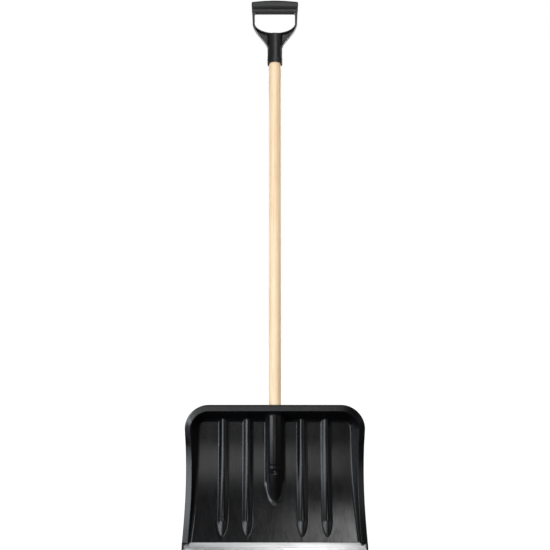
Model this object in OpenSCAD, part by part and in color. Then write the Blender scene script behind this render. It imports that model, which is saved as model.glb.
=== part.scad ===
// Snow shovel: a moulded plastic scoop with an aluminium edge strip, a round wooden stem and a D-grip.
// It stands upright on its cutting edge: +Z runs up the stem, the scoop is open towards -Y.

/* [Scoop] */
// Width across the cutting edge
blade_w = 500; // [440:5:560]
// Height of the scoop, from the cutting edge to the top of its rim
blade_h = 380; // [360:2:400]
// Depth of the scoop at its rear wall
rear_depth = 57; // [50:1:64]
// Depth of the side walls at the cutting edge
edge_depth = 10; // [6:1:14]
// How far the floor lies behind the stem's axis at the rear wall
floor_back = 28; // [26:1:34]
// How far the cutting edge stands in front of the stem's axis
edge_forward = 84; // [70:1:100]
// Wall thickness of the moulding
wall_t = 3; // [2.5:0.1:3.5]
// Radius of the rim's two upper corners
corner_r = 66; // [50:1:80]
// How much narrower the sides are at their waist
waist = 4; // [0:0.5:8]
// How far the rim slopes back from the wall's top to its outer edge
lip_tilt = 5; // [0:0.5:8]
// Depth of the hem that is turned back along the rim
hem = 7; // [5:1:10]

/* [Ribs] */
// Width of each stiffening rib
rib_w = 28.6; // [20:0.2:32]
// Height of each rib above the floor
rib_h = 9; // [6:0.5:11]
// Distance of the inner ribs from the middle
rib_inner = 75.5; // [60:0.5:85]
// Distance of the outer ribs from the middle
rib_outer = 143; // [125:1:160]

/* [Socket] */
// Outer radius of the stem socket
socket_r = 22.5; // [21:0.1:24]
// Width of the socket's housing where it meets the floor
housing_w = 51; // [46:1:60]
// Height of the socket's closed lower end above the cutting edge
socket_z = 173; // [170:1:176]

/* [Edge strip] */
// Height of the strip's front leg, seen from the front
strip_h = 17; // [15:1:21]
// Thickness of the strip's legs
strip_t = 1.2; // [0.8:0.1:1.6]
// Width of the plastic tab at each end of the strip
tab_w = 5.5; // [4:0.5:8]

/* [Stem] */
// Diameter of the wooden stem
stem_d = 34; // [32:0.5:35]
// Length of the stem, its hidden ends included
stem_len = 1210; // [1195:5:1215]

/* [Grip] */
// Width across the grip's arms
grip_w = 130; // [126:1:140]
// Radius of the grip's tube
tube_r = 19.6; // [19.4:0.1:21]
// Height of the grip's collar edge above the cutting edge
collar_z = 1322; // [1315:1:1330]
// Height of the grip, from its collar edge to the top of its bar
grip_h = 176; // [170:1:190]
// Width of the hand window
window_w = 112; // [100:1:114]
// Depth of the grip's flanges, front to back
flange_depth = 25; // [20:1:30]

/* [Screws] */
// Diameter of the wood screws' shank
screw_d = 4; // [3.5:0.1:5]
// Length of the wood screws under their heads
screw_len = 22; // [18:1:26]

/* [Hidden] */
$fn = 48;
eps = 0.01;

// The scoop's side view: a floor that is straight at the top and bows forward to the edge below a
// bend, and a rear wall that leans back
floor_top = blade_h - 48;
wall_top = blade_h - 17;
bend_z = blade_h - 97;
top_slope = 0.06;
floor_bow = (floor_back + edge_forward - top_slope * floor_top) / pow(bend_z, 2);
edge_slope = atan(top_slope + 2 * floor_bow * (bend_z - strip_h / 2));
rear_y = floor_back - rear_depth;

// Plan outlines as seen from the front, at the floor's border, the wall's top and the rim's edge:
// half width at the cutting edge, half width at the corners, height, corner radius
plans = [
    [blade_w / 2 - 21, blade_w / 2 - 36, floor_top, corner_r * 0.22],
    [blade_w / 2 - 17, blade_w / 2 - 19, wall_top, corner_r * 0.76],
    [blade_w / 2, blade_w / 2 - 2, blade_h, corner_r]
];

// Rings of the moulding, from the hem inwards: outline number, share of the wall's depth,
// distance behind the wall's top
rings = [
    [2, 1, lip_tilt + hem], [2, 1, lip_tilt + 1.5], [1.88, 1, lip_tilt * 0.9], [1.1, 1, 0],
    [1, 0.98, 0], [0.82, 0.82, 0], [0.62, 0.58, 0], [0.42, 0.32, 0], [0.2, 0.1, 0], [0, 0, 0]
];
wall_n = len(rings) - 1;
floor_n = 10;
columns = 2 * (wall_n + floor_n);
rows = 30;
centre_z = strip_h + 60;

// Where the pieces lie up the stem
placed_y = (edge_forward + edge_depth - 1 - floor_back - wall_t) / 2;
tongue_l = 15;
foot_h = 1.2;
stem_z = socket_z + 3;
nose_z = 60;
bore_r = stem_d / 2 + 0.3;
collar_top = blade_h - 14;
socket_screw_z = socket_z + 22;
grip_screw_z = collar_z + 22;
grip_top = collar_z + grip_h;
bar_h = 34;
window_top = grip_top - bar_h;
window_h = 58;
window_low = window_top - window_h;
window_bow = 28;
arm_taper = 3;
bar_rise = 5;
head_r = 4.2;
head_h = 2.6;

function mix(a, b, t) = a + (b - a) * t;
function smooth(t) = t * t * (3 - 2 * t);

// Position of the floor's face in front of or behind the stem's axis, at height z
function floor_y(z) =
    floor_back - top_slope * max(floor_top - z, 0) - floor_bow * pow(max(bend_z - z, 0), 2);
function wall_depth(z) = mix(edge_depth, rear_depth, min(z / floor_top, 1));

// Outline m: 0 is the floor's border, 1 the wall's top, 2 the rim's outer edge
function plan(m) = m > 1 ? mix(plans[1], plans[2], m - 1) : mix(plans[0], plans[1], m);

// Point of an outline that starts at the edge on the left and ends in the middle of the left corner
function side_point(p, t) =
    let (straight = p[2] - p[3] - strip_h, arc = p[3] * PI / 4, s = t * (straight + arc))
    s < straight
        ? [-mix(p[0], p[1], s / straight) + waist * sin(180 * s / straight), strip_h + s]
        : corner_point(p, (s - straight) / p[3] * 180 / PI);
function corner_point(p, a) = [-p[1] + p[3] * (1 - cos(a)), p[2] - p[3] * (1 - sin(a))];

// Point of the same outline along the top, from the left corner's middle to the right corner's
function top_point(p, t) =
    let (arc = p[3] * PI / 4, flat = p[1] - p[3], s = min(t, 1 - t) * 2 * (arc + flat))
    let (q = s < arc ? corner_point(p, 45 + s / p[3] * 180 / PI) : [-flat + s - arc, p[2]])
    t > 0.5 ? [-q[0], q[1]] : q;

// One point of the moulding's front face
function front_point(i, j) =
    let (k = min(i, columns - i, rows - j))
    let (ring = k < wall_n ? rings[k] : [0, 0, 0], inner = max(k - wall_n, 0) / floor_n)
    let (whole = plan(ring[0]))
    let (p = [whole[0] * (1 - inner), whole[1] * (1 - inner),
              mix(whole[2], centre_z, inner), max(whole[3] * (1 - inner), 1)])
    let (q = rows - j == k && columns > 2 * k ? top_point(p, (i - k) / (columns - 2 * k))
           : i == k ? side_point(p, j / (rows - k))
           : mirrored(side_point(p, j / (rows - k))))
    [q[0], floor_y(q[1]) - ring[1] * wall_depth(q[1]) + ring[2], q[1]];
function mirrored(q) = [-q[0], q[1]];

function clamp_to(v, top) = max(0, min(v, top));
function unit(v) = v / norm(v);
function face_normal(grid, i, j) =
    let (a = grid[clamp_to(i + 1, columns)][j] - grid[clamp_to(i - 1, columns)][j])
    let (b = grid[i][clamp_to(j + 1, rows)] - grid[i][clamp_to(j - 1, rows)])
    unit(cross(a, b));

// A closed sheet between a grid of front points and the same grid moved back by wall_t
module scoop_sheet() {
    front = [for (i = [0:columns]) [for (j = [0:rows]) front_point(i, j)]];
    back = [for (i = [0:columns]) [for (j = [0:rows])
        front[i][j] - wall_t * face_normal(front, i, j)]];
    points = [for (side = [front, back]) for (column = side) for (p = column) p];
    size = (columns + 1) * (rows + 1);
    function at(side, i, j) = side * size + i * (rows + 1) + j;
    faces = concat(
        [for (i = [0:columns - 1], j = [0:rows - 1])
            each quad(at(0, i, j), at(0, i, j + 1), at(0, i + 1, j + 1), at(0, i + 1, j))],
        [for (i = [0:columns - 1], j = [0:rows - 1])
            each quad(at(1, i, j), at(1, i + 1, j), at(1, i + 1, j + 1), at(1, i, j + 1))],
        [for (i = [0:columns - 1], end = [0, 1])
            each end == 0
                ? quad(at(0, i, 0), at(0, i + 1, 0), at(1, i + 1, 0), at(1, i, 0))
                : quad(at(0, i, rows), at(1, i, rows), at(1, i + 1, rows), at(0, i + 1, rows))],
        [for (j = [0:rows - 1], end = [0, 1])
            each end == 0
                ? quad(at(0, 0, j), at(1, 0, j), at(1, 0, j + 1), at(0, 0, j + 1))
                : quad(at(0, columns, j), at(0, columns, j + 1),
                       at(1, columns, j + 1), at(1, columns, j))]
    );
    polyhedron(points, faces);
}
function quad(a, b, c, d) = [[a, b, c], [a, c, d]];

// Extrudes a side view, drawn as [y, z], along X across the given width
module across(width) {
    translate([-width / 2, 0, 0])
        rotate([90, 0, 90])
            linear_extrude(width)
                children();
}

// Extrudes a front view, drawn as [x, z], along Y to the given depth
module through(depth) {
    translate([0, depth / 2, 0])
        rotate([90, 0, 0])
            linear_extrude(depth)
                children();
}

// The space in front of the floor and below the rear wall, up to the middle of their thickness
module scoop_space() {
    reach = 1.5 * edge_forward;
    step = (floor_top - nose_z) / 34;
    across(1.5 * housing_w)
        polygon(concat(
            [for (n = [0:34]) [floor_y(nose_z + n * step) + wall_t / 2, nose_z + n * step]],
            [[rear_y, wall_top + wall_t / 2], [-reach, wall_top], [-reach, nose_z]]
        ));
}

// One rib: a rounded ridge that follows the floor and ends in a sloping point; inset makes its hollow core
module rib(x, inset) {
    bevel_z = strip_h + 51;
    tip_z = strip_h + 11 + 2 * inset;
    step = (floor_top + 6 - bevel_z) / 6;
    hull() {
        translate([x, floor_y(tip_z), tip_z])
            cube([2, eps, eps], center = true);
        rib_slice(x, bevel_z, inset);
    }
    for (n = [0:5]) {
        hull() {
            rib_slice(x, bevel_z + n * step, inset);
            rib_slice(x, bevel_z + (n + 1) * step, inset);
        }
    }
}
module rib_slice(x, z, inset) {
    w = rib_w / 2 - inset;
    h = rib_h - inset;
    root = inset > 0 ? wall_t + 4 : wall_t / 2;
    translate([x, floor_y(z), z])
        linear_extrude(eps)
            polygon(concat(
                [[w, root]],
                [for (u = [1:-0.2:-1]) [w * u, -h * rib_arch(abs(u))]],
                [[-w, root]]
            ));
}

// Share of the rib's height at u from its middle: straight flanks that meet in a rounded top
function rib_arch(u) =
    let (round = 0.45, flank = 1 / (1 - round / 2))
    u < round ? 1 - flank / (2 * round) * u * u : flank * (1 - u);

// The socket: a round tube for the stem, its housing on the floor, and a nose that runs out into the floor
module socket() {
    translate([0, 0, socket_z - wall_t])
        cylinder(r = socket_r, h = collar_top - socket_z + wall_t);
    intersection() {
        translate([0, 0, nose_z])
            linear_extrude(wall_top - nose_z)
                hull() {
                    circle(r = socket_r);
                    translate([-housing_w / 2, floor_back])
                        square([housing_w, wall_t]);
                }
        scoop_space();
    }
}

// What is cut out of the socket: the stem's bore, the screw's recess, grip rings and the nose's hollow
module socket_cuts() {
    translate([0, 0, socket_z])
        cylinder(r = bore_r, h = blade_h);
    translate([0, 0, nose_z])
        cylinder(r = socket_r - wall_t, h = socket_z - wall_t - nose_z);
    translate([0, -stem_d / 2, socket_screw_z])
        rotate([90, 0, 0]) {
            cylinder(r = screw_d / 2 + 0.3, h = 20, center = true);
            translate([0, 0, socket_r - stem_d / 2 - head_h - 0.4])
                cylinder(r = head_r + 0.6, h = 10);
        }
    for (n = [0:2]) {
        translate([0, 0, socket_screw_z + 9 + 6 * n])
            rotate_extrude()
                translate([socket_r, 0])
                    circle(r = 0.9, $fn = 6);
    }
}

// The flat tongue that carries the edge strip, and the tabs that close the strip's ends
module edge_tongue() {
    translate([0, floor_y(strip_h), strip_h])
        rotate([-edge_slope, 0, 0])
            translate([-blade_w / 2 + tab_w - 1, 0, -tongue_l])
                cube([blade_w - 2 * tab_w + 2, wall_t, tongue_l + 6]);
    for (side = [-1, 1]) {
        translate([side * (blade_w - tab_w) / 2, 0, 0])
            across(tab_w)
                polygon([
                    [-edge_forward - edge_depth + 1, 1.5],
                    [-edge_forward + 7, 1.5],
                    [floor_y(strip_h) + 6, strip_h + 6],
                    [floor_y(strip_h) - edge_depth + 2, strip_h + 6]
                ]);
    }
}

module scoop() {
    placed()
        color("#1b1c1f")
            difference() {
                union() {
                    scoop_sheet();
                    for (x = [-rib_outer, -rib_inner, rib_inner, rib_outer]) {
                        rib(x, 0);
                    }
                    socket();
                    edge_tongue();
                }
                for (x = [-rib_outer, -rib_inner, rib_inner, rib_outer]) {
                    rib(x, wall_t);
                }
                socket_cuts();
            }
}

// An extruded channel: two thin legs over the tongue and a thicker wear edge, ground flat where it stands
module edge_strip() {
    gap = 0.1;
    half = wall_t / 2 + gap;
    leg_y = half + strip_t;
    wear_y = leg_y + 0.5;
    wear_h = 6.4;
    reach = (strip_h + foot_h - wear_y * sin(edge_slope)) / cos(edge_slope);
    leg = reach - wear_h;
    placed()
        color("#c9ccd0")
            intersection() {
                translate([0, floor_y(strip_h), strip_h])
                    rotate([-edge_slope, 0, 0])
                        translate([0, wall_t / 2, 0])
                            across(blade_w - 2 * tab_w - 0.6)
                                polygon([
                                    [-leg_y, 0], [-half, 0], [-half, -tongue_l - gap],
                                    [half, -tongue_l - gap], [half, 0], [leg_y, 0],
                                    [leg_y, -leg], [wear_y, -leg - 0.8],
                                    [wear_y, -reach + 0.8], [wear_y - 1.6, -reach], [-wear_y + 1.6, -reach],
                                    [-wear_y, -reach + 0.8], [-wear_y, -leg - 0.8], [-leg_y, -leg]
                                ]);
                translate([-blade_w, -blade_w, 0])
                    cube([2 * blade_w, 2 * blade_w, 2 * strip_h]);
            }
}

// Turned round bar with softened ends and a pilot hole for each screw
module stem() {
    r = stem_d / 2;
    chamfer = 3;
    placed()
        color("#e6cfa6")
            difference() {
                translate([0, 0, stem_z])
                    rotate_extrude()
                        polygon([
                            [0, 0], [r - chamfer, 0], [r, chamfer],
                            [r, stem_len - chamfer], [r - chamfer, stem_len], [0, stem_len]
                        ]);
                translate([0, -r, socket_screw_z])
                    rotate([90, 0, 0])
                        cylinder(r = screw_d / 2 + 0.05, h = 2 * screw_len, center = true);
                translate([0, r, grip_screw_z])
                    rotate([90, 0, 0])
                        cylinder(r = screw_d / 2 + 0.05, h = 2 * screw_len, center = true);
            }
}

// Half width of the grip's outer outline at height z: the arms taper a little on their way down and
// then draw in to the tube in one smooth bend
function arm_x(z) =
    mix(tube_r, grip_w / 2 - arm_taper * min(1, (grip_top - z) / 60),
        smooth(max(0, min(1, (z - collar_z - 38) / 73))));

// The grip's outline, and the window's, both moved inwards by the given amount
module grip_outline(inset) {
    sides = [for (z = [collar_z + 34:4:grip_top - 12]) [arm_x(z) - inset, z]];
    top = [for (x = [grip_w / 2 - 3:-grip_w / 24:0])
        [x - inset, grip_top - bar_rise * pow(2 * x / grip_w, 2) - inset]];
    half = concat(sides, top);
    polygon(concat(half, [for (n = [len(half) - 1:-1:0]) [-half[n][0], half[n][1]]]));
}
module window_outline(inset) {
    w = window_w / 2 - inset;
    up = window_top - inset;
    r = 5;
    polygon(concat(
        [for (a = [180:9:360])
            [w * cos(a), window_low + window_bow + (window_bow - inset) * sin(a)]],
        [for (a = [0:18:90]) [w - r + r * cos(a), up - r + r * sin(a)]],
        [for (a = [90:18:180]) [-w + r + r * cos(a), up - r + r * sin(a)]]
    ));
}

// Side view of the hand bar: a rounded head for the palm, a shallow waist and a lip along the window
module bar_section() {
    ry = 15.5;
    rz = 13.5;
    lip_y = flange_depth / 2;
    polygon(concat(
        [for (a = [-38:9.5:218]) [ry * cos(a), grip_top - rz + rz * sin(a)]],
        [[-9, window_top + 9], [-lip_y + 1.5, window_top + 7], [-lip_y, window_top + 5],
         [-lip_y, window_top + 1.5], [-lip_y + 1.5, window_top], [lip_y - 1.5, window_top],
         [lip_y, window_top + 1.5], [lip_y, window_top + 5], [lip_y - 1.5, window_top + 7],
         [9, window_top + 9]]
    ));
}

module grip() {
    flange_t = 3.5;
    web_t = 5;
    bar_mid = window_top + bar_h / 2;
    placed()
        color("#1e1f22")
            difference() {
                union() {
                    // Tube with its collar and a small step above it
                    translate([0, 0, collar_z])
                        rotate_extrude()
                            polygon([
                                [0, 0], [tube_r + 0.6, 0], [tube_r + 1.6, 1.5], [tube_r + 1.6, 12],
                                [tube_r + 0.5, 15], [tube_r + 0.5, 21], [tube_r, 22],
                                [tube_r, window_low - collar_z - 1], [0, window_low - collar_z - 1]
                            ]);
                    // Thin web between the flanges
                    through(web_t)
                        difference() {
                            grip_outline(0);
                            window_outline(0);
                        }
                    // Flanges along the outside of the arms and round the window
                    intersection() {
                        through(flange_depth)
                            difference() {
                                grip_outline(0);
                                difference() {
                                    grip_outline(flange_t);
                                    window_outline(-flange_t);
                                }
                                window_outline(0);
                            }
                        translate([-grip_w, -grip_w, collar_z])
                            cube([2 * grip_w, 2 * grip_w, bar_mid - collar_z]);
                    }
                    // Hand bar
                    intersection() {
                        across(grip_w)
                            bar_section();
                        through(2 * flange_depth)
                            grip_outline(0);
                    }
                }
                translate([0, 0, collar_z - 1])
                    cylinder(r = bore_r, h = stem_z + stem_len + 2 - collar_z);
                translate([0, tube_r, grip_screw_z])
                    rotate([90, 0, 0])
                        cylinder(r = screw_d / 2 + 0.3, h = 12, center = true);
            }
}

// Wood screw along Z with its head at the top: domed head, cross recess, tapered point
module wood_screw() {
    r = screw_d / 2;
    difference() {
        rotate_extrude()
            polygon([
                [0, -screw_len], [r, -screw_len + 6], [r, 0], [head_r, 0],
                [head_r, head_h * 0.45], [head_r * 0.7, head_h * 0.9], [0, head_h]
            ]);
        for (turn = [0, 90]) {
            rotate([0, 0, turn])
                translate([-head_r * 0.55, -0.5, head_h - 1.4])
                    cube([head_r * 1.1, 1, 3]);
        }
    }
}

module socket_screw() {
    placed()
        color("#2b2c2e")
            translate([0, -socket_r + head_h + 0.4, socket_screw_z])
                rotate([90, 0, 0])
                    wood_screw();
}

module grip_screw() {
    placed()
        color("#2b2c2e")
            translate([0, tube_r + 0.55, grip_screw_z])
                rotate([-90, 0, 0])
                    wood_screw();
}

// Moves a piece from the stem's axis so that the whole shovel is centred over the origin
module placed() {
    translate([0, placed_y, 0])
        children();
}

scoop();
edge_strip();
stem();
grip();
socket_screw();
grip_screw();
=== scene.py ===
import math

import bpy
import numpy as np
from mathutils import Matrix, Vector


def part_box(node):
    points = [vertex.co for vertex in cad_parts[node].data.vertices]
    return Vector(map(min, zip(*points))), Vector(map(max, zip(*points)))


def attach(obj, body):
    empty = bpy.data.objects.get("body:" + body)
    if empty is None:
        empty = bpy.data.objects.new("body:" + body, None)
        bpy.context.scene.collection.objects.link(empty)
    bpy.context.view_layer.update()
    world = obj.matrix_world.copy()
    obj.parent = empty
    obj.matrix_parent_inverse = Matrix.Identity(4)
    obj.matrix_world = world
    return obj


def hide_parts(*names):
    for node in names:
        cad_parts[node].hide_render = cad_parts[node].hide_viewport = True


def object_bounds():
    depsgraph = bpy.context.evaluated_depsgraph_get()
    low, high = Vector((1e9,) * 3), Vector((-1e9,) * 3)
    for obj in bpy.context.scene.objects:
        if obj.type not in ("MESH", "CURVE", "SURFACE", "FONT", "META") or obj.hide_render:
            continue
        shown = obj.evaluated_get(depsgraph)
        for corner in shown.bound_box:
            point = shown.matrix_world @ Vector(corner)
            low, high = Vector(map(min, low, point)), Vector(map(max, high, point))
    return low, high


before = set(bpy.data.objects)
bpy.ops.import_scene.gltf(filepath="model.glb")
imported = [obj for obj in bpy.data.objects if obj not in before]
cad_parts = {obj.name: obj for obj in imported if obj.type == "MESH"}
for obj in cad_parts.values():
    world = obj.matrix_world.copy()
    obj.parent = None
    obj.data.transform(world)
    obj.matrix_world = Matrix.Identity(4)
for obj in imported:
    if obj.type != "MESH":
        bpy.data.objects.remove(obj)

# The snow shovel's looks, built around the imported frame. All lengths are metres, in the CAD's frame:
# +Z up the stem, the scoop opens towards -Y. Shapes are worked out relative to the stem's axis.

CAD_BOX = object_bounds()
MM = 0.001

SCOOP_LO, SCOOP_HI = (np.array(v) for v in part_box("scoop"))
STEM_LO, STEM_HI = (np.array(v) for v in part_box("stem"))
GRIP_LO, GRIP_HI = (np.array(v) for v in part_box("grip"))
SOCKET_SCREW_LO, SOCKET_SCREW_HI = (np.array(v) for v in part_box("socket_screw"))
GRIP_SCREW_LO, GRIP_SCREW_HI = (np.array(v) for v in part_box("grip_screw"))

AXIS_Y = (STEM_LO[1] + STEM_HI[1]) / 2
STEM_R = (STEM_HI[0] - STEM_LO[0]) / 2

# ---------------------------------------------------------------- the scoop's design sizes
WALL = 3 * MM
HALF_W = (SCOOP_HI[0] - SCOOP_LO[0]) / 2
RIM_Z = SCOOP_HI[2]
WALL_TOP = RIM_Z - 17 * MM
FLOOR_TOP = RIM_Z - 48 * MM
BEND_Z = RIM_Z - 97 * MM
STRIP_H = 17 * MM
FLOOR_BACK = SCOOP_HI[1] - AXIS_Y - WALL
EDGE_Y = SCOOP_LO[1] - AXIS_Y + 9 * MM
REAR_DEPTH = 57 * MM
EDGE_DEPTH = 10 * MM
TOP_SLOPE = 0.06
FLOOR_BOW = (FLOOR_BACK - EDGE_Y - TOP_SLOPE * FLOOR_TOP) / BEND_Z ** 2
HEM = 7 * MM
LIP_BACK = 7 * MM
CORNER_R = 66 * MM
WAIST = 4 * MM
TAB_W = 5.5 * MM
RIB_X = [-143 * MM, -75.5 * MM, 75.5 * MM, 143 * MM]
RIB_HALF = 14.3 * MM
RIB_H = 9 * MM
RIDGE = 0.45
RIB_BEVEL_Z = 68 * MM
RIB_TIP_Z = 28 * MM
SOCKET_R = 22.5 * MM
HOUSING_HALF = 25.5 * MM
SHOULDER_R = 2 * MM
SOCKET_Z = 173 * MM
COLLAR_TOP = RIM_Z - 14 * MM
NOTCH_Z = (SOCKET_SCREW_LO[2] + SOCKET_SCREW_HI[2]) / 2


def mix(a, b, t):
    return a + (b - a) * t


def clamp(v, lo=0.0, hi=1.0):
    return np.minimum(np.maximum(v, lo), hi)


def ease(t):
    t = clamp(t)
    return t * t * (3 - 2 * t)


def smooth_min(a, b, k):
    """The smaller of two surfaces, blended over the width k as a moulded fillet is."""
    h = clamp(0.5 + 0.5 * (b - a) / k)
    return mix(b, a, h) - k * h * (1 - h)


def smooth_max(a, b, k):
    return -smooth_min(-a, -b, k)


# ---------------------------------------------------------------- mesh helpers
def new_mesh(name, verts, faces, smooth=True):
    mesh = bpy.data.meshes.new(name)
    mesh.from_pydata(np.asarray(verts).tolist(), [], [list(map(int, f)) for f in faces])
    mesh.validate()
    mesh.update()
    if smooth:
        mesh.shade_smooth()
    piece = bpy.data.objects.new(name, mesh)
    bpy.context.scene.collection.objects.link(piece)
    return piece


def modify(piece, kind, **settings):
    """Adds a modifier, applies it and leaves plain mesh."""
    modifier = piece.modifiers.new(kind, kind)
    for key, value in settings.items():
        setattr(modifier, key, value)
    with bpy.context.temp_override(object=piece, active_object=piece, selected_objects=[piece]):
        bpy.ops.object.modifier_apply(modifier=modifier.name)
    return piece


def grid_faces(rows, cols, start=0, flip=False, wrap=False):
    """Quads over a grid of points numbered row by row; wrap joins the last column to the first."""
    i, j = np.meshgrid(np.arange(rows - 1), np.arange(cols if wrap else cols - 1), indexing="ij")
    i, j = i.ravel(), j.ravel()
    k = (j + 1) % cols
    quads = np.stack([i * cols + j, i * cols + k, (i + 1) * cols + k, (i + 1) * cols + j], axis=1)
    return (quads[:, ::-1] if flip else quads) + start


def lathe(name, profile, turns=96):
    """Turns a closed profile of (radius, z) points about the stem's axis."""
    profile = np.asarray(profile)
    angle = np.arange(turns) * 2 * math.pi / turns
    x = profile[:, :1] * np.cos(angle)
    y = profile[:, :1] * np.sin(angle) + AXIS_Y
    z = np.repeat(profile[:, 1:], turns, axis=1)
    verts = np.stack([x, y, z], axis=2).reshape(-1, 3)
    faces = grid_faces(len(profile), turns, wrap=True).tolist()
    return new_mesh(name, verts, faces)


def surface_net(name, field, lo, hi, step):
    """Meshes the surface where field(x, y, z) is 0, with one smooth vertex for each cell it crosses."""
    axes = [np.arange(lo[a], hi[a] + step, step) for a in range(3)]
    grid = np.meshgrid(*axes, indexing="ij")
    value = field(*grid)
    cells = [n - 1 for n in value.shape]
    total = np.zeros(cells + [3])
    count = np.zeros(cells)
    crossings = []
    for axis in range(3):
        low = [slice(None)] * 3
        high = [slice(None)] * 3
        low[axis], high[axis] = slice(0, -1), slice(1, None)
        a, b = value[tuple(low)], value[tuple(high)]
        crossed = (a < 0) != (b < 0)
        crossings.append((crossed, a < 0))
        index = np.argwhere(crossed)
        t = a[crossed] / (a[crossed] - b[crossed])
        point = index.astype(float)
        point[:, axis] += t
        others = [n for n in range(3) if n != axis]
        for da in (0, 1):
            for db in (0, 1):
                cell = index.copy()
                cell[:, others[0]] -= da
                cell[:, others[1]] -= db
                ok = np.all((cell >= 0) & (cell < cells), axis=1)
                c = cell[ok]
                np.add.at(total, (c[:, 0], c[:, 1], c[:, 2]), point[ok])
                np.add.at(count, (c[:, 0], c[:, 1], c[:, 2]), 1)
    used = count > 0
    number = np.full(cells, -1)
    number[used] = np.arange(used.sum())
    verts = total[used] / count[used][:, None] * step + np.asarray(lo)
    faces = []
    for axis, (crossed, inside) in enumerate(crossings):
        b_axis, c_axis = (axis + 1) % 3, (axis + 2) % 3
        index = np.argwhere(crossed)
        ok = (index[:, b_axis] > 0) & (index[:, c_axis] > 0)
        ok &= (index[:, b_axis] < value.shape[b_axis] - 1) & (index[:, c_axis] < value.shape[c_axis] - 1)
        index = index[ok]
        quad = []
        for db, dc in ((1, 1), (0, 1), (0, 0), (1, 0)):
            cell = index.copy()
            cell[:, b_axis] -= db
            cell[:, c_axis] -= dc
            quad.append(number[cell[:, 0], cell[:, 1], cell[:, 2]])
        quad = np.stack(quad, axis=1)
        outward = inside[crossed][ok]
        quad[~outward] = quad[~outward][:, ::-1]
        faces.append(quad)
    verts = settle(field, verts, step)
    return new_mesh(name, verts, np.concatenate(faces).tolist())


def settle(field, verts, step):
    """Moves each vertex along the field's slope until it lies on the surface."""
    small = step * 0.05
    for _ in range(3):
        x, y, z = verts.T
        f = field(x, y, z)
        slope = np.stack([
            field(x + small, y, z) - field(x - small, y, z),
            field(x, y + small, z) - field(x, y - small, z),
            field(x, y, z + small) - field(x, y, z - small),
        ], axis=1) / (2 * small)
        steep = np.maximum((slope ** 2).sum(axis=1), 0.2)
        move = -(f / steep)[:, None] * slope
        length = np.linalg.norm(move, axis=1, keepdims=True)
        verts = verts + move * np.minimum(1, 0.5 * step / np.maximum(length, 1e-9))
    return verts


# ---------------------------------------------------------------- scoop
def floor_y(z):
    """The floor's face: nearly straight above the bend, then bowing forward to the edge."""
    straight = FLOOR_BACK - TOP_SLOPE * clamp(FLOOR_TOP - z, 0, FLOOR_TOP)
    return straight - FLOOR_BOW * clamp(BEND_Z - z, 0, BEND_Z) ** 2


REAR_FLAT = 1 / math.hypot(1, REAR_DEPTH / (WALL_TOP - FLOOR_TOP))


def wall_depth(z):
    return mix(EDGE_DEPTH, REAR_DEPTH, clamp(z / FLOOR_TOP))


def floor_slope(z):
    return TOP_SLOPE + 2 * FLOOR_BOW * clamp(BEND_Z - z, 0, BEND_Z)


def rib_shape(x, z, inset):
    """Nearest rib's half width and height at z, and how far out on it x lies, from 0 to 1."""
    tip = RIB_TIP_Z + 1.2 * inset
    fade = clamp((z - tip) / (RIB_BEVEL_Z - tip), 1e-3, 1)
    half = (RIB_HALF - 1.3 * inset) * (1 - (1 - fade) ** 2) ** 0.7
    height = (RIB_H - inset) * fade
    away = np.min([np.abs(x - rib_x) for rib_x in RIB_X], axis=0)
    return half, height, away / half


def rib_distance(x, y, z, inset=0.0):
    """Distance in front of the ribs: straight flanks that meet in a rounded ridge."""
    half, height, u = rib_shape(x, z, inset)
    flank = 1 / (1 - RIDGE / 2)
    top = flank / (2 * RIDGE)
    arch = np.where(u < RIDGE, 1 - top * u * u, flank * (1 - u))
    steep = np.where(u < RIDGE, 2 * top * u, flank) * height / half
    return (floor_y(z) - height * arch - y) / np.sqrt(1 + steep ** 2)


def socket_distance(x, y, z):
    """Distance in front of the socket: a round tube on a housing, rings, a screw recess and a nose."""
    nose = clamp((NOTCH_Z - z) / (NOTCH_Z - 100 * MM))
    below = ease((NOTCH_Z + 3 * MM - z) / (3 * MM))
    r = SOCKET_R - 1.0 * MM * below - 1.0 * MM * nose ** 2
    for n in range(3):
        ring_z = NOTCH_Z + (7 + 6 * n) * MM
        r = r - 0.5 * MM * np.exp(-((z - ring_z) / (0.9 * MM)) ** 2)
    ax = np.abs(x)
    tube = np.where(y < 0, np.hypot(ax, y), ax) - r
    shoulder_x, shoulder_y = ax - HOUSING_HALF + SHOULDER_R, -y
    corner = np.hypot(np.maximum(shoulder_x, 0), np.maximum(shoulder_y, 0))
    housing = np.minimum(np.maximum(shoulder_x, shoulder_y), 0) + corner - SHOULDER_R
    solid = smooth_min(tube, housing, 3 * MM)
    recess = np.hypot(x, z - NOTCH_Z) - 5 * MM
    depth = y + SOCKET_R - 3.4 * MM
    solid = smooth_max(solid, -np.maximum(recess, depth), 0.8 * MM)
    return smooth_max(solid, z - COLLAR_TOP, 1 * MM)


def outline(level, side, t):
    """Points (x, z) on the left half of an outline. level is half width below, half width above,
    height, corner radius and waist; side is 0 up the side, 1 along the top."""
    low, top, high, r, waist = level
    straight = high - r - STRIP_H
    arc = r * math.pi / 4
    if side == 0:
        s = t * (straight + arc)
        part = clamp(s / straight)
        x = -mix(low, top, part) + waist * np.sin(math.pi * part)
        z = STRIP_H + s
        angle = clamp((s - straight) / r, 0, 2)
    else:
        s = np.minimum(t, 1 - t) * 2 * (arc + top - r)
        x = -(top - r) + (s - arc)
        z = np.full_like(s, high)
        angle = np.where(s < arc, math.pi / 4 + s / r, 0)
    x = np.where(angle > 0, -top + r * (1 - np.cos(angle)), x)
    z = np.where(angle > 0, high - r * (1 - np.sin(angle)), z)
    if side == 1:
        x = np.where(t > 0.5, -x, x)
    return x, z


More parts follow.
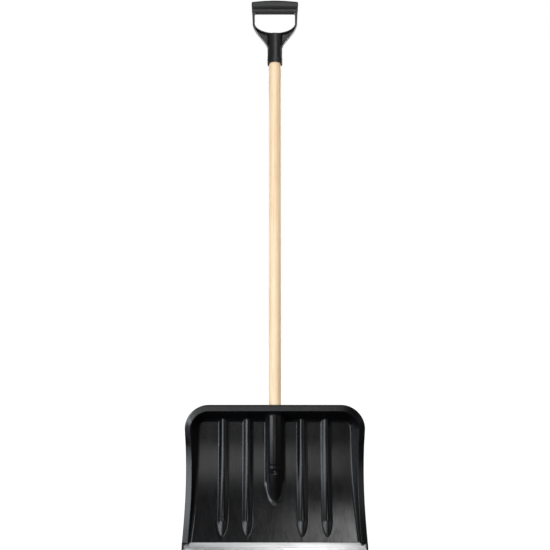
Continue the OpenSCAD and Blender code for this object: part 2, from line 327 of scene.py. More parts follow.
LEVELS = [np.array(v) for v in (
    [HALF_W - 31 * MM, HALF_W - 46 * MM, FLOOR_TOP - 14 * MM, 6 * MM, WAIST],
    [HALF_W - 21 * MM, HALF_W - 36 * MM, FLOOR_TOP, 14.5 * MM, WAIST],
    [HALF_W - 17 * MM, HALF_W - 19 * MM, WALL_TOP, 50 * MM, WAIST],
    [HALF_W, HALF_W - 2 * MM, RIM_Z, CORNER_R, WAIST],
)]


def unit(v):
    return v / np.maximum(np.linalg.norm(v, axis=-1, keepdims=True), 1e-12)


def control_points(side, t):
    """Corners of the rim's section at each place round the scoop, from the floor out to the hem."""
    corners = []
    for number, level in enumerate(LEVELS):
        x, z = outline(level, side, t)
        depth = 0 if number < 2 else wall_depth(z)
        y = floor_y(z) - depth
        if number == 3:
            above = ease((z - BEND_Z + 15 * MM) / (30 * MM))
            y = y + mix(LIP_BACK, LIP_BACK * 0.45, above)
        corners.append(np.stack([x, y, z], axis=1))
    hem = corners[3].copy()
    hem[:, 1] += HEM
    return corners + [hem]


def moved_back(corners):
    """The same section on the moulding's back, one wall thickness away."""
    outwards = unit(corners[3] - corners[0]) * [1, 0, 1]
    along = unit(np.cross(outwards, [0, 1, 0]))
    directions = [unit(b - a) for a, b in zip(corners, corners[1:])]
    normals = [unit(np.cross(along, d)) for d in directions]
    normals = [n * np.sign(np.sum(n * ref, axis=1, keepdims=True)) for n, ref in zip(
        normals, ([0, 1, 0] + 0 * outwards, outwards, [0, 1, 0] + 0 * outwards, -outwards))]
    back = [corners[0] + [0, WALL, 0]]
    for n in range(1, 4):
        a, b = normals[n - 1], normals[n]
        share = 1 + np.sum(a * b, axis=1, keepdims=True)
        back.append(corners[n] + WALL * (a + b) / np.maximum(share, 0.3))
    back.append(corners[4] + WALL * normals[3])
    return back


# Stations of the section from the hem inwards: (corner, share of its bend) or (corner, None, share
# of the straight run to the next corner inwards)
STATIONS = [(4, None, 0.0), (4, None, 0.5)]
STATIONS += [(3, s) for s in (0, 0.25, 0.5, 0.75, 1)]
STATIONS += [(3, None, s) for s in (0.2, 0.4, 0.6, 0.8)]
STATIONS += [(2, s) for s in (0, 0.2, 0.4, 0.6, 0.8, 1)]
STATIONS += [(2, None, s) for s in (0.14, 0.28, 0.42, 0.56, 0.7, 0.85)]
STATIONS += [(1, s) for s in (0, 0.14, 0.28, 0.42, 0.56, 0.7, 0.85, 1)]
STATIONS += [(1, None, 0.5)]
# How far each corner's bend reaches along its sides; the floor's is wider under the rear wall
FRONT_BENDS = {1: (6 * MM, 10 * MM), 2: (2.2 * MM, 2.2 * MM), 3: (1.8 * MM, 1.8 * MM)}
BACK_BENDS = {1: (8 * MM, 12 * MM), 2: (1.0 * MM, 1.0 * MM), 3: (0.6 * MM, 0.6 * MM)}


def section_point(corners, bends, station):
    """One station of the rounded section, for every place round the scoop at once."""
    n = station[0]

    def tangent(c, towards):
        if c in (0, 4):
            return corners[c]
        reach = mix(*bends[c], ease((corners[1][:, 2:] - FLOOR_TOP + 45 * MM) / (40 * MM)))
        return corners[c] + unit(corners[towards] - corners[c]) * reach

    if len(station) == 2:
        s = station[1]
        a, b = tangent(n, n + 1), tangent(n, n - 1)
        return (1 - s) ** 2 * a + 2 * s * (1 - s) * corners[n] + s * s * b
    start = tangent(n, n - 1) if n < 4 else corners[4]
    end = tangent(n - 1, n) if n > 1 else corners[0]
    return mix(start, end, station[2])


RIM_RINGS = len(STATIONS)
# Half widths that the rings pass through on the floor, and how many rings follow each: they are
# closest over the ribs and the socket
RING_KNOTS = [(212, 12), (165, 32), (120, 6), (98, 32), (53, 5), (34, 24), (0, 0)]
FLOOR_RINGS = sum(count for _, count in RING_KNOTS)
SHELL_ROWS = 190
WALL_STATION = STATIONS.index((2, 1))


def ring_shares():
    """How far in from the floor's border each ring lies, from 0 to 1."""
    widths = [width for width, _ in RING_KNOTS]
    passed = np.cumsum([0] + [count for _, count in RING_KNOTS[:-1]])
    return 1 - np.interp(np.arange(FLOOR_RINGS + 1), passed, widths) / widths[0]


def shell_side(back):
    """Grid of points over the front or the back of the moulding."""
    columns = 2 * (RIM_RINGS + FLOOR_RINGS)
    grid = np.zeros((columns + 1, SHELL_ROWS + 1, 3))
    bends = BACK_BENDS if back else FRONT_BENDS
    centre = np.array([0, 0, STRIP_H + 60 * MM, 0, 0])
    shares = ring_shares()
    for k in range(RIM_RINGS + FLOOR_RINGS + 1):
        rows = SHELL_ROWS - k
        across = columns - 2 * k
        paths = [(0, np.arange(rows + 1) / rows)]
        if across > 0:
            paths.append((1, np.arange(across + 1) / across))
        for side, t in paths:
            if k < RIM_RINGS:
                corners = control_points(side, t)
                points = section_point(moved_back(corners) if back else corners, bends, STATIONS[k])
            else:
                level = mix(LEVELS[0], centre, shares[k - RIM_RINGS])
                level[3] = max(level[3], 0.5 * MM)
                x, z = outline(level, side, t)
                points = np.stack([x, floor_y(z) + (WALL if back else 0), z], axis=1)
            if k > WALL_STATION:
                points[:, 1] = with_features(points, back)
            if side == 1:
                grid[k:columns - k + 1, SHELL_ROWS - k] = points
            else:
                grid[k, :rows + 1] = points
                grid[columns - k, :rows + 1] = points * [-1, 1, 1]
    grid[:, :, 1] += AXIS_Y
    return grid


def with_features(points, back):
    """Raises the ribs and the socket out of the floor, or hollows the back behind them."""
    x, base, z = points.T
    if back:
        half, height, u = rib_shape(x, z, WALL)
        hollow = floor_y(z) - height * np.minimum(1, 1.6 * (1 - u))
        y = smooth_min(base, hollow, 1.5 * MM)
        r = SOCKET_R - WALL
        bore = -np.sqrt(np.maximum(r * r - x * x, 0)) + 60 * np.maximum(np.abs(x) - r, 0)
        return smooth_min(y, np.where(z < SOCKET_Z, bore, 1.0), 1.0 * MM)
    flat = 1 / np.sqrt(1 + floor_slope(z) ** 2)
    flat = mix(flat, REAR_FLAT, ease((z - FLOOR_TOP + 8 * MM) / (14 * MM)))
    y = np.minimum(base, -SOCKET_R) - 8 * MM
    for _ in range(70):
        gap = (base - y) * flat
        gap = smooth_min(gap, rib_distance(x, y, z), 0.5 * MM)
        gap = smooth_min(gap, socket_distance(x, y, z), 5 * MM)
        y = y + gap
    return np.minimum(y, base)


def box_section(name, outline_yz, x_lo, x_hi, bevel):
    """A bar of the given (y, z) outline between two x positions, with softened edges."""
    n = len(outline_yz)
    verts = [(x, y + AXIS_Y, z) for x in (x_lo, x_hi) for y, z in outline_yz]
    faces = [list(range(n))[::-1], [n + i for i in range(n)]]
    faces += [[i, (i + 1) % n, n + (i + 1) % n, n + i] for i in range(n)]
    piece = new_mesh(name, verts, faces, smooth=False)
    modify(piece, "BEVEL", width=bevel, segments=3, limit_method="ANGLE", angle_limit=math.radians(20))
    piece.data.shade_smooth()
    return piece


def edge_frame(along, out):
    """Point of the edge's sloping plane: distance down along it, and distance behind its face."""
    slope = math.atan(TOP_SLOPE + 2 * FLOOR_BOW * (BEND_Z - STRIP_H / 2))
    base = float(floor_y(np.array(STRIP_H)))
    return (base + out * math.cos(slope) - along * math.sin(slope),
            STRIP_H - out * math.sin(slope) - along * math.cos(slope))


def joined(name, pieces):
    with bpy.context.temp_override(active_object=pieces[0], object=pieces[0],
                                   selected_objects=pieces, selected_editable_objects=pieces):
        bpy.ops.object.join()
    pieces[0].name = name
    return pieces[0]


def build_scoop():
    """The moulding: one sheet with front and back, the socket's tube, the edge's tongue and end tabs."""
    front = shell_side(back=False)
    back = shell_side(back=True)
    cols, rows = front.shape[:2]
    size = cols * rows
    verts = np.concatenate([front.reshape(-1, 3), back.reshape(-1, 3)])
    number = np.arange(size).reshape(cols, rows)
    faces = [grid_faces(cols, rows, flip=False), grid_faces(cols, rows, start=size, flip=True)]
    loops = [number[:, 0][::-1], number[0, :], number[:, -1], number[-1, :][::-1]]
    for loop in loops:
        faces.append(np.stack([loop[:-1], loop[1:], loop[1:] + size, loop[:-1] + size], axis=1))
    shell = new_mesh("scoop_shell", verts, np.concatenate(faces).tolist())

    # The closed tube that holds the stem: it shows behind the floor and above the rear wall
    r = SOCKET_R - 0.4 * MM
    bore = STEM_R + 0.3 * MM
    low, high = SOCKET_Z - 4 * MM, COLLAR_TOP
    bend = [(1 - math.cos(a), 1 - math.sin(a)) for a in np.linspace(0, math.pi / 2, 6)]
    tube = [(0.01 * MM, low)] + [(r - 3 * MM * a, low + 3 * MM * b) for a, b in bend[::-1]]
    tube += [(r, mix(low, high, t)) for t in (0.3, 0.6, 0.9)]
    tube += [(r - 1.5 * MM * a, high - 1.5 * MM * b) for a, b in bend]
    tube += [(bore + 0.8 * MM, high), (bore, high - 0.8 * MM), (bore, high - 30 * MM)]
    socket_tube = lathe("socket_tube", tube)
    for vertex in socket_tube.data.vertices:
        if vertex.co.y < AXIS_Y and vertex.co.z < WALL_TOP:
            vertex.co.y = AXIS_Y + 0.82 * (vertex.co.y - AXIS_Y)

    pieces = [shell, socket_tube]
    tongue = [edge_frame(a, o) for a, o in ((-6 * MM, 0), (15 * MM, 0), (15 * MM, WALL), (-6 * MM, WALL))]
    inner = HALF_W - TAB_W + 1 * MM
    pieces.append(box_section("tongue", tongue, -inner, inner, 0.3 * MM))
    lip_y = float(floor_y(np.array(STRIP_H)) - wall_depth(STRIP_H))
    foot_y = EDGE_Y
    tab = [(foot_y - 8.5 * MM, 1.8 * MM), (foot_y + 6.5 * MM, 1.8 * MM),
           (lip_y + EDGE_DEPTH + 9 * MM, STRIP_H + 3 * MM), (lip_y + 1.0 * MM, STRIP_H + 3 * MM)]
    for sign in (-1, 1):
        ends = sorted((sign * (HALF_W - 0.3 * MM), sign * (HALF_W - TAB_W)))
        pieces.append(box_section("tab", tab, *ends, 1.0 * MM))
    return joined("scoop_moulding", pieces)


# ---------------------------------------------------------------- edge strip
def build_strip():
    """The aluminium channel over the cutting edge, cut level where it meets the floor."""
    leg_t = 1.2 * MM
    gap = 0.1 * MM
    back = WALL + gap
    reach = 20.6 * MM
    leg = reach - 6.4 * MM
    wear = 0.5 * MM
    section = [
        (0, -gap - leg_t), (leg - 0.3 * MM, -gap - leg_t), (leg + 0.6 * MM, -gap - leg_t - wear),
        (reach - 0.8 * MM, -gap - leg_t - wear), (reach, -gap - leg_t - wear + 1.4 * MM),
        (reach, back * 0.4), (reach - 3.4 * MM, back + leg_t + wear),
        (leg + 0.6 * MM, back + leg_t + wear), (leg - 0.3 * MM, back + leg_t), (0, back + leg_t),
        (0, back), (15 * MM, back), (15 * MM, -gap), (0, -gap),
    ]
    outline_yz = [(y, max(z, 0)) for y, z in (edge_frame(a, o) for a, o in section)]
    half = HALF_W - TAB_W - 0.3 * MM
    return box_section("edge_strip_extrusion", outline_yz, -half, half, 0.25 * MM)


# ---------------------------------------------------------------- stem
def build_stem():
    """The round wooden shaft, with chamfered ends."""
    length = STEM_HI[2] - STEM_LO[2]
    chamfer = 3 * MM
    rings = [(0.01 * MM, 0), (STEM_R - chamfer, 0), (STEM_R - 0.3 * MM, chamfer * 0.9),
             (STEM_R, chamfer * 1.3)]
    body = [(STEM_R, z) for z in np.linspace(20 * MM, length - 20 * MM, 60)]
    profile = rings + body + [(r, length - z) for r, z in rings[::-1]]
    return lathe("stem_wood", [(r, STEM_LO[2] + z) for r, z in profile])


# ---------------------------------------------------------------- grip
GRIP_HALF = (GRIP_HI[0] - GRIP_LO[0]) / 2
TUBE_R = 19.6 * MM
COLLAR_Z = GRIP_LO[2]
GRIP_TOP = GRIP_HI[2]
WINDOW_TOP = GRIP_TOP - 34 * MM
WINDOW_LOW = WINDOW_TOP - 58 * MM
WINDOW_HALF = 56 * MM
FLANGE_T = 3.5 * MM
FLANGE_HALF = 12.5 * MM
WINDOW_BOW = 28 * MM
ARM_TAPER = 3 * MM


def grip_field(x, y, z):
    """Distance-like field of the D-grip, negative inside the plastic."""
    y = y - AXIS_Y
    ax = np.abs(x)
    rise = clamp((z - COLLAR_Z - 38 * MM) / (73 * MM))
    arm = mix(TUBE_R, GRIP_HALF - ARM_TAPER * clamp((GRIP_TOP - z) / (60 * MM)), ease(rise))
    lean = (GRIP_HALF - TUBE_R) * 6 * rise * (1 - rise) / (73 * MM)
    outer = (ax - arm) / np.sqrt(1 + lean ** 2)
    top = z - (GRIP_TOP - 5 * MM * (x / GRIP_HALF) ** 2)
    plan = smooth_max(outer, top, 3 * MM)
    below = np.maximum(WINDOW_LOW + WINDOW_BOW - z, 0)
    reach = np.hypot(ax / WINDOW_HALF, below / WINDOW_BOW)
    steep = np.hypot(ax / WINDOW_HALF ** 2, below / WINDOW_BOW ** 2)
    window = reach * (reach - 1) / np.maximum(steep, 1e-3)
    window = smooth_max(window, z - WINDOW_TOP, 6 * MM)
    plate = np.maximum(plan, -window)
    web = np.maximum(plate, np.abs(y) - 2.5 * MM)
    band = np.minimum(-(plan + FLANGE_T), window - FLANGE_T)
    flange = smooth_max(np.maximum(plate, band), np.abs(y) - FLANGE_HALF, 1.6 * MM)
    flange = np.maximum(flange, z - (GRIP_TOP - 12 * MM))

    # Hand bar: a round head, a narrower neck and a lip along the window
    head_z = GRIP_TOP - 15 * MM - 2.5 * MM * (x / GRIP_HALF) ** 2
    head = (np.hypot(y / 15.5, (z - head_z) / 15) - 1 * MM) * 15
    neck = np.maximum(np.abs(y) - 8.5 * MM, np.abs(z - (WINDOW_TOP + 8 * MM)) - 8 * MM)
    lip = smooth_max(np.abs(y) - FLANGE_HALF, np.abs(z - WINDOW_TOP - 3.7 * MM) - 3.7 * MM, 2.2 * MM)
    bar = smooth_min(smooth_min(head, neck, 1.2 * MM), lip, 1.0 * MM)
    bar = smooth_max(bar, plan, 2.5 * MM)

    # Tube, with a collar and a faint step above it
    radius = np.hypot(x, y)
    up = z - COLLAR_Z
    step = 0.5 * MM * ease((22 * MM - up) / (1.2 * MM))
    collar = 1.1 * MM * ease((14.5 * MM - up) / (3 * MM))
    tube_r = TUBE_R + step + collar
    arch = 2.5 * MM * (1 - (x / TUBE_R) ** 2)
    tube = smooth_max(radius - tube_r, np.maximum(arch, 0) - up, 1.5 * MM)
    tube = smooth_max(tube, z - (WINDOW_LOW - 1 * MM), 1.5 * MM)

    solid = smooth_min(web, flange, 1.6 * MM)
    solid = smooth_min(solid, tube, 2.4 * MM)
    solid = smooth_min(solid, bar, 2.4 * MM)
    bore = np.maximum(radius - STEM_R - 0.25 * MM, z - (STEM_HI[2] + 1.5 * MM))
    screw_z = (GRIP_SCREW_LO[2] + GRIP_SCREW_HI[2]) / 2
    hole = np.maximum(np.hypot(x, z - screw_z) - 2.3 * MM, -y)
    return smooth_max(smooth_max(solid, -bore, 0.8 * MM), -hole, 0.6 * MM)


def build_grip():
    pad = 3 * MM
    return surface_net("grip_moulding", grip_field, GRIP_LO - pad, GRIP_HI + pad, 0.9 * MM)


# ---------------------------------------------------------------- screws
def screw_mesh(name, lo, hi, towards):
    """A pan-head wood screw along Y whose head is at the front (-1) or the back (+1)."""
    cx, cz = (lo[0] + hi[0]) / 2, (lo[2] + hi[2]) / 2
    head_r, head_h, shank_r = 4.1 * MM, 2.6 * MM, 1.9 * MM
    top = hi[1] if towards > 0 else lo[1]
    length = hi[1] - lo[1]

    def field(x, y, z):
        radius = np.hypot(x - cx, z - cz)
        down = (top - y) * towards
        turn = np.arctan2(z - cz, x - cx) / (2 * math.pi)
        dome = np.hypot(radius / head_r, np.maximum(head_h * 0.6 - down, 0) / (head_h * 0.6)) - 1
        head = smooth_max(dome * head_h, down - head_h, 0.5 * MM)
        thread = np.abs((down / (1.8 * MM) + turn) % 1 - 0.5) * 1.0 * MM
        taper = clamp((length - down) / (6 * MM))
        shank = np.maximum(radius - (shank_r - 0.5 * MM + thread * 0.9) * taper, head_h * 0.5 - down)
        shank = np.maximum(shank, down - length)
        cross = np.minimum(np.maximum(np.abs(x - cx) - 0.5 * MM, np.abs(z - cz) - 2.3 * MM),
                           np.maximum(np.abs(z - cz) - 0.5 * MM, np.abs(x - cx) - 2.3 * MM))
        cross = np.maximum(cross, down - 1.5 * MM + radius * 0.2)
        return smooth_max(smooth_min(head, shank, 0.3 * MM), -cross, 0.2 * MM)

    return surface_net(name, field, lo - 0.5 * MM, hi + 0.5 * MM, 0.25 * MM)


# ---------------------------------------------------------------- materials
class Nodes:
    """Short calls for building a material's nodes."""

    def __init__(self, name):
        self.material = bpy.data.materials.new(name)
        self.material.use_nodes = True
        self.tree = self.material.node_tree
        self.shader = next(n for n in self.tree.nodes if n.type == "BSDF_PRINCIPLED")

    def add(self, kind, **values):
        node = self.tree.nodes.new(kind)
        for key, value in values.items():
            setattr(node, key, value)
        return node

    def link(self, source, target):
        self.tree.links.new(source, target)

    def place(self, scale):
        """Object position stretched by the given scale along X, Y and Z."""
        coords = self.add("ShaderNodeTexCoord")
        mapping = self.add("ShaderNodeMapping")
        mapping.inputs["Scale"].default_value = scale
        self.link(coords.outputs["Object"], mapping.inputs["Vector"])
        return mapping.outputs["Vector"]

    def noise(self, scale, detail=3.0, rough=0.5, distort=0.0):
        node = self.add("ShaderNodeTexNoise")
        node.inputs["Scale"].default_value = 1.0
        node.inputs["Detail"].default_value = detail
        node.inputs["Roughness"].default_value = rough
        node.inputs["Distortion"].default_value = distort
        self.link(self.place(scale), node.inputs["Vector"])
        return node.outputs["Fac"]

    def ramp(self, source, stops):
        node = self.add("ShaderNodeValToRGB")
        elements = node.color_ramp.elements
        while len(elements) < len(stops):
            elements.new(0.5)
        for element, (at, colour) in zip(elements, stops):
            element.position = at
            element.color = (*colour, 1) if len(colour) == 3 else colour
        self.link(source, node.inputs["Fac"])
        return node.outputs["Color"]

    def span(self, source, low, high, to_low, to_high):
        node = self.add("ShaderNodeMapRange")
        for key, value in zip(("From Min", "From Max", "To Min", "To Max"), (low, high, to_low, to_high)):
            node.inputs[key].default_value = value
        self.link(source, node.inputs["Value"])
        return node.outputs["Result"]

    def math(self, kind, a, b=None):
        node = self.add("ShaderNodeMath", operation=kind)
        for socket, value in zip(node.inputs, (a, b)):
            if value is None:
                continue
            if isinstance(value, (int, float)):
                socket.default_value = value
            else:
                self.link(value, socket)
        return node.outputs[0]

    def blend(self, kind, fac, a, b):
        node = self.add("ShaderNodeMix", data_type="RGBA", blend_type=kind)
        for socket, value in ((node.inputs[0], fac), (node.inputs[6], a), (node.inputs[7], b)):
            if isinstance(value, (int, float)):
                socket.default_value = value
            elif isinstance(value, tuple):
                socket.default_value = (*value, 1)
            else:
                self.link(value, socket)
        return node.outputs[2]

    def bump(self, height, distance, strength=1.0, below=None):
        node = self.add("ShaderNodeBump")
        node.inputs["Strength"].default_value = strength
        node.inputs["Distance"].default_value = distance
        self.link(height, node.inputs["Height"])
        if below is not None:
            self.link(below, node.inputs["Normal"])
        return node.outputs["Normal"]

    def finish(self, colour=None, rough=None, normal=None, **constants):
        for key, value in (("Base Color", colour), ("Roughness", rough), ("Normal", normal)):
            if value is not None:
                self.link(value, self.shader.inputs[key])
        for key, value in constants.items():
            self.shader.inputs[key.replace("_", " ")].default_value = value
        return self.material


def plastic_material(name, base, rough, streak):
    """Satin black moulding: fine spark-eroded grain, soft flow streaks, faint rubs."""
    n = Nodes(name)
    cloud = n.noise((9, 9, 9), detail=4)
    flow = n.noise((70, 70, 6), detail=3, distort=0.6)
    grain = n.noise((2600, 2600, 2600), detail=2)
    rubs = n.noise((260, 260, 14), detail=5, rough=0.7)
    rub_mask = n.span(rubs, 0.62, 0.74, 0.0, 1.0)
    dark = tuple(c * 0.75 for c in base)
    light = tuple(c * 1.35 for c in base)
    colour = n.ramp(cloud, [(0.3, dark), (0.7, light)])
    worn = tuple(c * 2.2 + 0.004 for c in base)
    colour = n.blend("MIX", n.math("MULTIPLY", rub_mask, 0.35 * streak), colour, worn)
    roughness = n.span(cloud, 0.25, 0.75, rough - 0.035, rough + 0.045)
    roughness = n.math("ADD", roughness, n.span(flow, 0.3, 0.7, -0.03 * streak, 0.03 * streak))
    roughness = n.math("ADD", roughness, n.math("MULTIPLY", rub_mask, 0.05 * streak))
    normal = n.bump(flow, 0.00012 * streak)
    normal = n.bump(grain, 0.000018, below=normal)
    return n.finish(colour, roughness, normal, IOR=1.48)


def wood_material():
    """Sanded pale birch: growth lines up the stem, short pores, a small knot, warm mottling."""
    n = Nodes("stem_wood_look")
    rings = n.noise((95, 95, 2.2), detail=4, rough=0.6, distort=0.8)
    broad = n.noise((30, 30, 1.3), detail=2)
    pores = n.noise((1500, 1500, 45), detail=2)
    mottle = n.noise((40, 40, 16), detail=3)
    colour = n.ramp(rings, [(0.30, (0.70, 0.50, 0.30)), (0.46, (0.80, 0.625, 0.42)),
                            (0.58, (0.845, 0.685, 0.485)), (0.75, (0.77, 0.585, 0.375))])
    colour = n.blend("MULTIPLY", 0.35, colour, n.ramp(broad, [(0.3, (0.86, 0.78, 0.68)), (0.7, (1, 1, 1))]))
    colour = n.blend("MULTIPLY", 0.4, colour, n.ramp(mottle, [(0.35, (0.93, 0.9, 0.85)), (0.6, (1, 1, 1))]))
    pore_mask = n.span(pores, 0.60, 0.70, 0.0, 1.0)
    colour = n.blend("MULTIPLY", n.math("MULTIPLY", pore_mask, 0.5), colour, (0.72, 0.6, 0.46))
    roughness = n.span(rings, 0.3, 0.7, 0.60, 0.48)
    normal = n.bump(rings, 0.00006)
    normal = n.bump(pores, 0.00004, below=normal)
    return n.finish(colour, roughness, normal, IOR=1.45)


def aluminium_material():
    """Extruded aluminium: long die lines, a slight haze and a few fine scratches."""
    n = Nodes("strip_aluminium_look")
    lines = n.noise((5, 1500, 1500), detail=3)
    haze = n.noise((22, 60, 60), detail=4)
    scratch = n.noise((420, 420, 1400), detail=4, distort=1.2)
    scratch_mask = n.span(scratch, 0.64, 0.7, 0.0, 1.0)
    colour = n.ramp(haze, [(0.3, (0.90, 0.91, 0.92)), (0.7, (0.96, 0.965, 0.97))])
    colour = n.blend("MIX", n.math("MULTIPLY", scratch_mask, 0.25), colour, (0.6, 0.6, 0.62))
    roughness = n.span(haze, 0.3, 0.7, 0.30, 0.42)
    roughness = n.math("ADD", roughness, n.span(lines, 0.3, 0.7, -0.04, 0.04))
    normal = n.bump(lines, 0.00003)
    normal = n.bump(scratch_mask, 0.00001, below=normal)
    return n.finish(colour, roughness, normal, Metallic=1.0, Anisotropic=0.35)


def steel_material():
    """Blackened screw steel with a fine haze."""
    n = Nodes("screw_steel_look")
    haze = n.noise((500, 500, 500), detail=4)
    colour = n.ramp(haze, [(0.3, (0.045, 0.045, 0.048)), (0.7, (0.085, 0.085, 0.088))])
    roughness = n.span(haze, 0.3, 0.7, 0.3, 0.45)
    return n.finish(colour, roughness, n.bump(haze, 0.00002), Metallic=1.0)


# ---------------------------------------------------------------- stage, light and camera
def stage_material():
    """Seamless pale paper: shown near white, but dim in the shovel's own reflections."""
    material = bpy.data.materials.new("stage_paper")
    material.use_nodes = True
    tree = material.node_tree
    shader = next(n for n in tree.nodes if n.type == "BSDF_PRINCIPLED")
    shader.inputs["Base Color"].default_value = (0.8, 0.8, 0.8, 1)
    shader.inputs["Roughness"].default_value = 0.9
    shader.inputs["Specular IOR Level"].default_value = 0.0
    glow = tree.nodes.new("ShaderNodeEmission")
    glow.inputs["Color"].default_value = (1, 1, 1, 1)
    glow.inputs["Strength"].default_value = 1.1
    path = tree.nodes.new("ShaderNodeLightPath")
    both = tree.nodes.new("ShaderNodeMixShader")
    amount = tree.nodes.new("ShaderNodeMath")
    amount.operation = "MULTIPLY"
    amount.inputs[1].default_value = 0.95
    output = next(n for n in tree.nodes if n.type == "OUTPUT_MATERIAL")
    tree.links.new(path.outputs["Is Camera Ray"], amount.inputs[0])
    tree.links.new(amount.outputs[0], both.inputs[0])
    tree.links.new(shader.outputs[0], both.inputs[1])
    tree.links.new(glow.outputs[0], both.inputs[2])
    dark = tree.nodes.new("ShaderNodeBsdfDiffuse")
    dark.inputs["Color"].default_value = (0.04, 0.04, 0.04, 1)
    seen = tree.nodes.new("ShaderNodeMixShader")
    tree.links.new(path.outputs["Is Camera Ray"], seen.inputs[0])
    tree.links.new(dark.outputs[0], seen.inputs[1])
    tree.links.new(both.outputs[0], seen.inputs[2])
    tree.links.new(seen.outputs[0], output.inputs["Surface"])
    return material


def build_stage():
    """A floor 14 m across under the shovel's foot."""
    half = 7.0
    verts = [(-half, -half, 0), (half, -half, 0), (half, half, 0), (-half, half, 0)]
    floor = new_mesh("floor", verts, [[0, 1, 2, 3]], smooth=False)
    floor.data.materials.append(stage_material())


def panel(name, turn, rise, away, size, radiance, colour=(1, 1, 1), aim=(0, 0.03, 0.25)):
    """A soft light seen from the point aim at the given turn (to the right) and rise, in degrees."""
    turn, rise = math.radians(turn), math.radians(rise)
    way = np.array([math.sin(turn) * math.cos(rise), -math.cos(turn) * math.cos(rise), math.sin(rise)])
    data = bpy.data.lights.new(name, "AREA")
    data.shape = "RECTANGLE"
    data.size, data.size_y = size
    data.energy = math.pi * size[0] * size[1] * radiance
    data.color = colour
    lamp = bpy.data.objects.new(name, data)
    lamp.location = np.array(aim) + way * away
    lamp.rotation_euler = direction_angles(-way)
    lamp.visible_camera = False
    bpy.context.scene.collection.objects.link(lamp)
    return lamp


def direction_angles(aim):
    """Euler angles that turn an object's -Z axis along aim, with its Y axis upwards."""
    flat = math.hypot(aim[0], aim[1])
    return (math.atan2(flat, -aim[2]), 0, math.atan2(-aim[0], aim[1]))


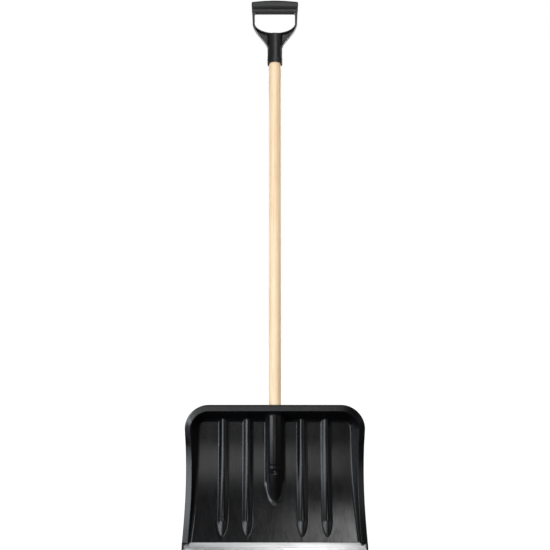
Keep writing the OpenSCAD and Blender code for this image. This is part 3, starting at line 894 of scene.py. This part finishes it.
def build_light():
    """Studio panels placed to give the highlights seen from the front; others light the back.
    Returns the lamps that are meant for the stem and for the grip alone."""
    world = bpy.data.worlds.new("studio")
    bpy.context.scene.world = world
    world.use_nodes = True
    tree = world.node_tree
    tree.nodes.clear()
    path = tree.nodes.new("ShaderNodeLightPath")
    seen = tree.nodes.new("ShaderNodeBackground")
    seen.inputs["Color"].default_value = (1, 1, 1, 1)
    seen.inputs["Strength"].default_value = 1.0
    room = tree.nodes.new("ShaderNodeBackground")
    room.inputs["Color"].default_value = (0.95, 0.97, 1, 1)
    room.inputs["Strength"].default_value = 0.04
    both = tree.nodes.new("ShaderNodeMixShader")
    output = tree.nodes.new("ShaderNodeOutputWorld")
    tree.links.new(path.outputs["Is Camera Ray"], both.inputs[0])
    tree.links.new(room.outputs[0], both.inputs[1])
    tree.links.new(seen.outputs[0], both.inputs[2])
    tree.links.new(both.outputs[0], output.inputs["Surface"])

    panel("left_bank", -54, 0, 1.3, (0.95, 0.44), 4.2, (0.88, 0.94, 1))
    panel("left_upper", -52, 14, 1.35, (0.75, 0.28), 2.8, (0.88, 0.94, 1))
    panel("left_slot", -33, 4, 2.0, (0.26, 1.0), 6.0, (0.92, 0.96, 1))
    panel("top", 0, 62, 2.6, (2.4, 0.9), 0.9)
    panel("front", -8, 11, 2.6, (1.6, 0.8), 1.6)
    panel("key", 15, 42, 2.6, (0.5, 0.62), 8.0)
    panel("right", 58, 2, 2.6, (2.7, 1.1), 0.5)
    panel("right_side", 104, 12, 2.6, (1.6, 1.6), 1.6)
    panel("left_side", -112, 16, 2.6, (1.2, 1.6), 1.2)
    panel("low_front", -5, -9, 1.3, (0.6, 0.11), 1.6)
    panel("back_left", -142, 18, 3.0, (1.7, 1.7), 4.0)
    panel("back_right", 142, 22, 3.0, (1.7, 1.7), 5.0)
    panel("back_floor", 0, -90, 1.0, (3.2, 1.6), 1.2, aim=(0, 1.1, 1.02))
    stem_lights = [panel("stem_fill", -10, 6, 2.6, (1.6, 1.6), 6.5, (1, 0.98, 0.95), (0, 0.03, 0.9))]
    grip_lights = [panel("grip_front", 0, 17, 2.5, (0.5, 0.9), 4.5, aim=(0, 0.03, 1.43)),
                   panel("grip_top", 0, 66, 1.5, (1.4, 0.6), 2.4, aim=(0, 0.03, 1.48))]
    return stem_lights, grip_lights


def light_only(piece, lamps):
    """Lets the lamps shine on one piece only."""
    group = bpy.data.collections.new(piece.name + "_lit")
    group.objects.link(piece)
    for lamp in lamps:
        lamp.light_linking.receiver_collection = group


def build_camera():
    """Level camera straight in front of the shovel, far enough away to match its perspective."""
    distance = 2.4
    low, high = CAD_BOX[0][2], CAD_BOX[1][2]
    data = bpy.data.cameras.new("camera")
    data.sensor_width = 36
    view_height = (high - low) * 1.0189
    data.lens = data.sensor_width * distance / view_height
    camera = bpy.data.objects.new("camera", data)
    camera.location = (0.0003, AXIS_Y - distance, mix(low, high, 0.4923))
    camera.rotation_euler = (math.pi / 2, 0, 0)
    bpy.context.scene.collection.objects.link(camera)
    bpy.context.scene.camera = camera


def dress(piece, material, slot, *nodes):
    """Gives a piece its material, hangs it under the root body and hides the CAD nodes it takes the place
    of.
    """
    piece.data.materials.clear()
    piece.data.materials.append(material)
    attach(piece, "root")
    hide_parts(*nodes)


bpy.context.scene.view_settings.view_transform = "Standard"
build_camera()
stem_lights, grip_lights = build_light()
build_stage()

scoop_look = plastic_material("scoop_plastic_look", (0.0060, 0.0062, 0.0070), 0.23, 1.0)
grip_look = plastic_material("grip_plastic_look", (0.020, 0.020, 0.021), 0.42, 0.4)
steel_look = steel_material()
dress(build_scoop(), scoop_look, "scoop_plastic", "scoop")
dress(build_strip(), aluminium_material(), "strip_aluminium", "edge_strip")
stem = build_stem()
dress(stem, wood_material(), "stem_wood", "stem")
light_only(stem, stem_lights)
grip = build_grip()
dress(grip, grip_look, "grip_plastic", "grip")
light_only(grip, grip_lights)
dress(screw_mesh("socket_wood_screw", SOCKET_SCREW_LO, SOCKET_SCREW_HI, -1), steel_look,
      "screw_steel", "socket_screw")
dress(screw_mesh("grip_wood_screw", GRIP_SCREW_LO, GRIP_SCREW_HI, 1), steel_look,
      "screw_steel", "grip_screw")
